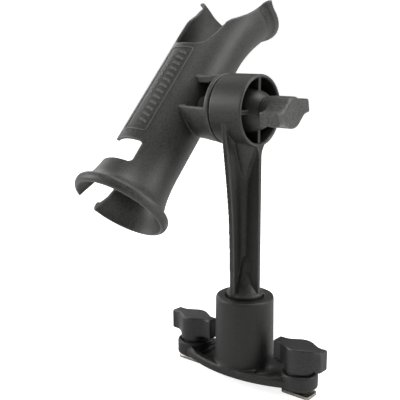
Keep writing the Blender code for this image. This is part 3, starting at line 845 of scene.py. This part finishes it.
def make_hub_bolt():
    shank = [(0, 36), *thread_profile(14, 36), (BOLT_RADIUS, 13.6), (BOLT_RADIUS, -26.6), (0, -26.6)]
    bolt = turned(shank, HUB_FRAME, FINE)
    head = soften(plate(hex_outline(HEX_HEAD), -29.3, -24.9, HUB_FRAME), 0.4, 2)
    return crisp("hub_bolt_turned", join(bolt, head))


# ---------------------------------------------------------------- materials

def new_material(name):
    made = bpy.data.materials.new(name)
    made.use_nodes = True
    nodes = made.node_tree.nodes
    return made, nodes, made.node_tree.links, nodes["Principled BSDF"]


def noise(nodes, links, coords, scale, detail=4.0, roughness=0.55, stretch=None):
    node = nodes.new("ShaderNodeTexNoise")
    node.inputs["Scale"].default_value = scale
    node.inputs["Detail"].default_value = detail
    node.inputs["Roughness"].default_value = roughness
    source = coords
    if stretch:
        mapping = nodes.new("ShaderNodeMapping")
        mapping.inputs["Scale"].default_value = stretch
        links.new(coords, mapping.inputs["Vector"])
        source = mapping.outputs["Vector"]
    links.new(source, node.inputs["Vector"])
    return node.outputs["Fac"]


def ramp(nodes, links, value, stops):
    node = nodes.new("ShaderNodeValToRGB")
    elements = node.color_ramp.elements
    while len(elements) < len(stops):
        elements.new(0.5)
    for element, (position, colour) in zip(elements, stops):
        element.position = position
        element.color = (*colour, 1.0) if isinstance(colour, tuple) else (colour, colour, colour, 1.0)
    links.new(value, node.inputs["Fac"])
    return node.outputs["Color"]


def mixed(nodes, links, kind, factor, first, second):
    node = nodes.new("ShaderNodeMix")
    node.data_type = "RGBA"
    node.blend_type = kind
    if isinstance(factor, float):
        node.inputs["Factor"].default_value = factor
    else:
        links.new(factor, node.inputs["Factor"])
    links.new(first, node.inputs["A"])
    links.new(second, node.inputs["B"])
    return node.outputs["Result"]


def bumped(nodes, links, layers):
    """Stacks height layers of (value, strength, distance in millimetres)."""
    normal = None
    for value, strength, distance in layers:
        bump = nodes.new("ShaderNodeBump")
        bump.inputs["Strength"].default_value = strength
        bump.inputs["Distance"].default_value = distance * MM
        links.new(value, bump.inputs["Height"])
        if normal:
            links.new(normal, bump.inputs["Normal"])
        normal = bump.outputs["Normal"]
    return normal


def moulded_plastic(name, dark, light, rough_low, rough_high, grain, edge_highlight_tone):
    """Glass-filled moulded plastic: fine grain, faint flow marks, painted shade in corners and hollows, and
    painted highlights along sharp edges.
    """
    made, nodes, links, shader = new_material(name)
    coords = nodes.new("ShaderNodeTexCoord").outputs["Object"]
    flow = noise(nodes, links, coords, 22, 5, 0.6, (1.0, 1.0, 0.45))
    mottle = noise(nodes, links, coords, 620, 3, 0.6)
    speck = noise(nodes, links, coords, 2100, 2, 0.5)
    base = ramp(nodes, links, flow, [(0.32, dark), (0.68, light)])
    spots = ramp(nodes, links, mottle, [(0.36, (0.60, 0.60, 0.60)), (0.64, (1.36, 1.36, 1.34))])
    # Painted shade: ambient occlusion darkens the colour in corners, creases and hollows.
    occlusion = nodes.new("ShaderNodeAmbientOcclusion")
    occlusion.samples = 8
    occlusion.inputs["Distance"].default_value = 18 * MM
    painted_shade = ramp(nodes, links, occlusion.outputs["AO"], [(0.30, 0.42), (0.88, 1.0)])
    toned = mixed(nodes, links, "MULTIPLY", 1.0, mixed(nodes, links, "MULTIPLY", 1.0, base, spots), painted_shade)
    # Painted highlight: sharp convex edges get a lighter colour that stands for the highlights along them.
    edges = nodes.new("ShaderNodeNewGeometry").outputs["Pointiness"]
    edge_highlight_mask = ramp(nodes, links, edges, [(0.502, 0.0), (0.535, 1.0)])
    edge_highlight_amount = nodes.new("ShaderNodeMath")
    edge_highlight_amount.operation = "MULTIPLY"
    edge_highlight_amount.inputs[1].default_value = 0.75
    links.new(edge_highlight_mask, edge_highlight_amount.inputs[0])
    edge_highlight_colour = ramp(nodes, links, mottle, [(0.3, edge_highlight_tone), (0.7, tuple(1.15 * c for c in edge_highlight_tone))])
    shaded_and_highlighted = mixed(nodes, links, "MIX", edge_highlight_amount.outputs[0], toned, edge_highlight_colour)
    links.new(shaded_and_highlighted, shader.inputs["Base Color"])
    rough = ramp(nodes, links, mottle, [(0.3, rough_low), (0.7, rough_high)])
    links.new(rough, shader.inputs["Roughness"])
    layers = [(flow, 0.25, 0.25), (mottle, 0.35 * grain, 0.10), (speck, 0.5 * grain, 0.05)]
    links.new(bumped(nodes, links, layers), shader.inputs["Normal"])
    shader.inputs["Specular IOR Level"].default_value = 0.5
    return made


def metal(name, dark, light, rough_low, rough_high, along):
    """Drawn or turned metal with fine lines along one axis and faint stains."""
    made, nodes, links, shader = new_material(name)
    coords = nodes.new("ShaderNodeTexCoord").outputs["Object"]
    stretch = tuple(0.06 if i == along else 1.0 for i in range(3))
    lines = noise(nodes, links, coords, 2600, 3, 0.6, stretch)
    stain = noise(nodes, links, coords, 140, 4, 0.6)
    base = ramp(nodes, links, stain, [(0.35, dark), (0.65, light)])
    streaks = ramp(nodes, links, lines, [(0.3, (0.86, 0.86, 0.86)), (0.7, (1.05, 1.05, 1.05))])
    links.new(mixed(nodes, links, "MULTIPLY", 1.0, base, streaks), shader.inputs["Base Color"])
    links.new(ramp(nodes, links, lines, [(0.3, rough_low), (0.7, rough_high)]), shader.inputs["Roughness"])
    links.new(bumped(nodes, links, [(lines, 0.3, 0.03), (stain, 0.15, 0.05)]), shader.inputs["Normal"])
    shader.inputs["Metallic"].default_value = 1.0
    return made


def rubber():
    """Matt black rubber with a faint bloom."""
    made, nodes, links, shader = new_material("ring_rubber")
    coords = nodes.new("ShaderNodeTexCoord").outputs["Object"]
    bloom = noise(nodes, links, coords, 420, 4, 0.6)
    links.new(ramp(nodes, links, bloom, [(0.35, 0.010), (0.7, 0.028)]), shader.inputs["Base Color"])
    links.new(ramp(nodes, links, bloom, [(0.3, 0.62), (0.7, 0.85)]), shader.inputs["Roughness"])
    links.new(bumped(nodes, links, [(bloom, 0.3, 0.05)]), shader.inputs["Normal"])
    return made


def dress(made, look, body, slot, *nodes):
    """Gives a piece its look and its body, and hides the CAD nodes that it stands for; the slot argument is
    not used.
    """
    made.data.materials.clear()
    made.data.materials.append(look)
    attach(made, body)
    if nodes:
        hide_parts(*nodes)


# ---------------------------------------------------------------- stage

def seen_only(nodes, links, lighting, backdrop):
    """A strength that is low in the light a surface gives off and high where the camera sees it."""
    path = nodes.new("ShaderNodeLightPath")
    strength = nodes.new("ShaderNodeMapRange")
    strength.inputs["To Min"].default_value = lighting
    strength.inputs["To Max"].default_value = backdrop
    links.new(path.outputs["Is Camera Ray"], strength.inputs["Value"])
    return strength.outputs["Result"]


def make_stage(floor_height):
    """A plain pale floor, a pale wall behind the object and a white sky."""
    bpy.ops.mesh.primitive_plane_add(size=1)
    floor = bpy.context.object
    floor.name = "floor"
    floor.scale = (30, 30, 1)
    floor.location = (0, 0, floor_height)
    white, nodes, links, shader = new_material("studio_white")
    shader.inputs["Base Color"].default_value = (0.86, 0.86, 0.86, 1.0)
    shader.inputs["Roughness"].default_value = 0.9
    shader.inputs["Specular IOR Level"].default_value = 0.1
    shader.inputs["Emission Color"].default_value = (1.0, 1.0, 1.0, 1.0)
    links.new(seen_only(nodes, links, *FLOOR_GLOW), shader.inputs["Emission Strength"])
    floor.data.materials.append(white)
    bpy.ops.mesh.primitive_plane_add(size=1)
    wall = bpy.context.object
    wall.name = "wall"
    wall.scale = (30, 8, 1)
    wall.rotation_euler = (math.radians(90), 0, math.radians(39))
    wall.location = (-3.2, 4.0, 0)
    wall.data.materials.append(white)
    world = bpy.data.worlds.new("studio")
    world.use_nodes = True
    sky = world.node_tree
    sky.nodes["Background"].inputs["Color"].default_value = (1.0, 1.0, 1.0, 1.0)
    sky.links.new(seen_only(sky.nodes, sky.links, *SKY_GLOW), sky.nodes["Background"].inputs["Strength"])
    bpy.context.scene.world = world
    bpy.context.scene.view_settings.view_transform = "Standard"


def area_light(name, location, target, size, power):
    """A round soft light that faces its target."""
    data = bpy.data.lights.new(name, "AREA")
    data.shape = "DISK"
    data.size = size
    data.energy = power
    made = bpy.data.objects.new(name, data)
    made.location = location
    made.rotation_euler = (Vector(target) - Vector(location)).to_track_quat("-Z", "Y").to_euler()
    bpy.context.scene.collection.objects.link(made)


def make_camera():
    place = Vector(CAMERA_PLACE)
    look = Vector(CAMERA_LOOK).normalized()
    roll = math.radians(CAMERA_ROLL)
    side = look.cross(Vector((0, 0, 1))).normalized()
    up = side.cross(look)
    right = side * math.cos(roll) + up * math.sin(roll)
    top = right.cross(look)
    data = bpy.data.cameras.new("camera")
    data.lens = CAMERA_LENS
    data.sensor_width = 36.0
    data.clip_start = 0.01
    made = bpy.data.objects.new("camera", data)
    turn = Matrix((right, top, -look)).transposed()
    made.matrix_world = Matrix.Translation(place) @ turn.to_4x4()
    bpy.context.scene.collection.objects.link(made)
    bpy.context.scene.camera = made


# ---------------------------------------------------------------- assembly

def charcoal(name, shade):
    """One charcoal composite, lighter or darker by a factor set to suit the photo's view; the factor paints
    light and shade into each piece's copy of the same plastic.
    """
    dark, light, edge_highlight_tone = (tuple(shade * c for c in tone) for tone in
                         ((0.0250, 0.0250, 0.0232), (0.0400, 0.0400, 0.0372), (0.100, 0.100, 0.095)))
    return moulded_plastic(name, dark, light, 0.40, 0.60, 1.0, edge_highlight_tone)


# Lit and shaded copies of one plastic: the tube's lighter copy is painted light, the base's darker copy
# painted shade.
tube_plastic = charcoal("tube_composite", 1.34)
post_plastic = charcoal("post_composite", 0.92)
base_plastic = charcoal("base_composite", 0.40)
# The knobs are one plastic in two copies: the tilt knob's lighter colour is painted light, the base knobs'
# darker colour painted shade.
tilt_plastic = moulded_plastic("tilt_knob_moulded", (0.062, 0.062, 0.060), (0.090, 0.090, 0.087),
                               0.34, 0.50, 0.8, (0.10, 0.10, 0.10))
knob_plastic = moulded_plastic("knob_moulded", (0.014, 0.014, 0.014), (0.022, 0.022, 0.022),
                               0.34, 0.50, 0.8, (0.07, 0.07, 0.07))
# Near-black washers; their dark tone also paints the shadow line under the knobs as painted shade.
nylon = moulded_plastic("washer_moulding", (0.016, 0.016, 0.016), (0.026, 0.026, 0.026),
                        0.35, 0.5, 0.5, (0.05, 0.05, 0.05))
steel = metal("stainless_drawn", (0.44, 0.40, 0.35), (0.60, 0.56, 0.51), 0.26, 0.42, 0)
turned_steel = metal("stainless_turned", (0.50, 0.49, 0.47), (0.64, 0.63, 0.60), 0.20, 0.36, 2)
brass = metal("insert_brass", (0.55, 0.39, 0.18), (0.74, 0.56, 0.28), 0.25, 0.42, 2)
soft_ring = rubber()

dress(make_tube(), tube_plastic, "tube", "composite", "rod_tube")
dress(make_panel(), tube_plastic, "tube", "composite")
dress(make_post(), post_plastic, "post", "composite", "post_with_hub_drum")
dress(make_base(), base_plastic, "base", "composite", "base_with_socket")
dress(make_hub_bolt(), turned_steel, "tube", "stainless", "hub_bolt")

tilt_place = Matrix.Translation((TILT_SEAT, 0, HUB_HEIGHT)) @ HUB_FRAME.to_3x3().to_4x4()
tilt_turn = tilt_place @ Matrix.Rotation(math.radians(TILT_KNOB_TURN), 4, "Z")
dress(make_knob("tilt_knob_moulding", tilt_turn), tilt_plastic, "tilt_knob", "knob_plastic", "tilt_knob")
washer_low = corner_mm("tilt_washer", False).x
washer_depth = corner_mm("tilt_washer", True).x - washer_low
washer_place = Matrix.Translation((washer_low, 0, HUB_HEIGHT)) @ HUB_FRAME.to_3x3().to_4x4()
dress(make_washer("tilt_washer_turned", TILT_WASHER_RADIUS, washer_depth, washer_place), nylon,
      "tilt_washer", "nylon", "tilt_washer")
for side, label, angle in ((-1, "left", LEFT_KNOB_TURN), (1, "right", RIGHT_KNOB_TURN)):
    seat = Matrix.Translation((side * BOLT_X, 0, KNOB_SEAT))
    turn = seat @ Matrix.Rotation(math.radians(angle), 4, "Z")
    dress(make_knob(label + "_knob_moulding", turn), knob_plastic,
          label + "_knob", "knob_plastic", label + "_knob")
    low = corner_mm(label + "_washer", False).z
    foot = Matrix.Translation((side * BOLT_X, 0, low))
    dress(make_washer(label + "_washer_turned", BASE_WASHER_RADIUS, BASE_WASHER_THICKNESS, foot), nylon,
          "base", "nylon", label + "_washer")
    dress(make_t_bolt(label + "_t_bolt_pressed", side * BOLT_X), steel, label + "_bolt", "stainless",
          label + "_t_bolt")

for node, look in (("tilt_knob_insert", brass), ("left_knob_insert", brass), ("right_knob_insert", brass),
                   ("post_o_ring", soft_ring)):
    kept = frame["nodes"][node]
    kept.data.materials.clear()
    kept.data.materials.append(look)

for leftover in list(scratch.objects):
    bpy.data.objects.remove(leftover)
bpy.data.collections.remove(scratch)

make_stage(cad_box[0][2] - FLOOR_GAP)
for name, location, size, power in LIGHTS:
    area_light(name, location, LIGHT_TARGET, size, power)
make_camera()
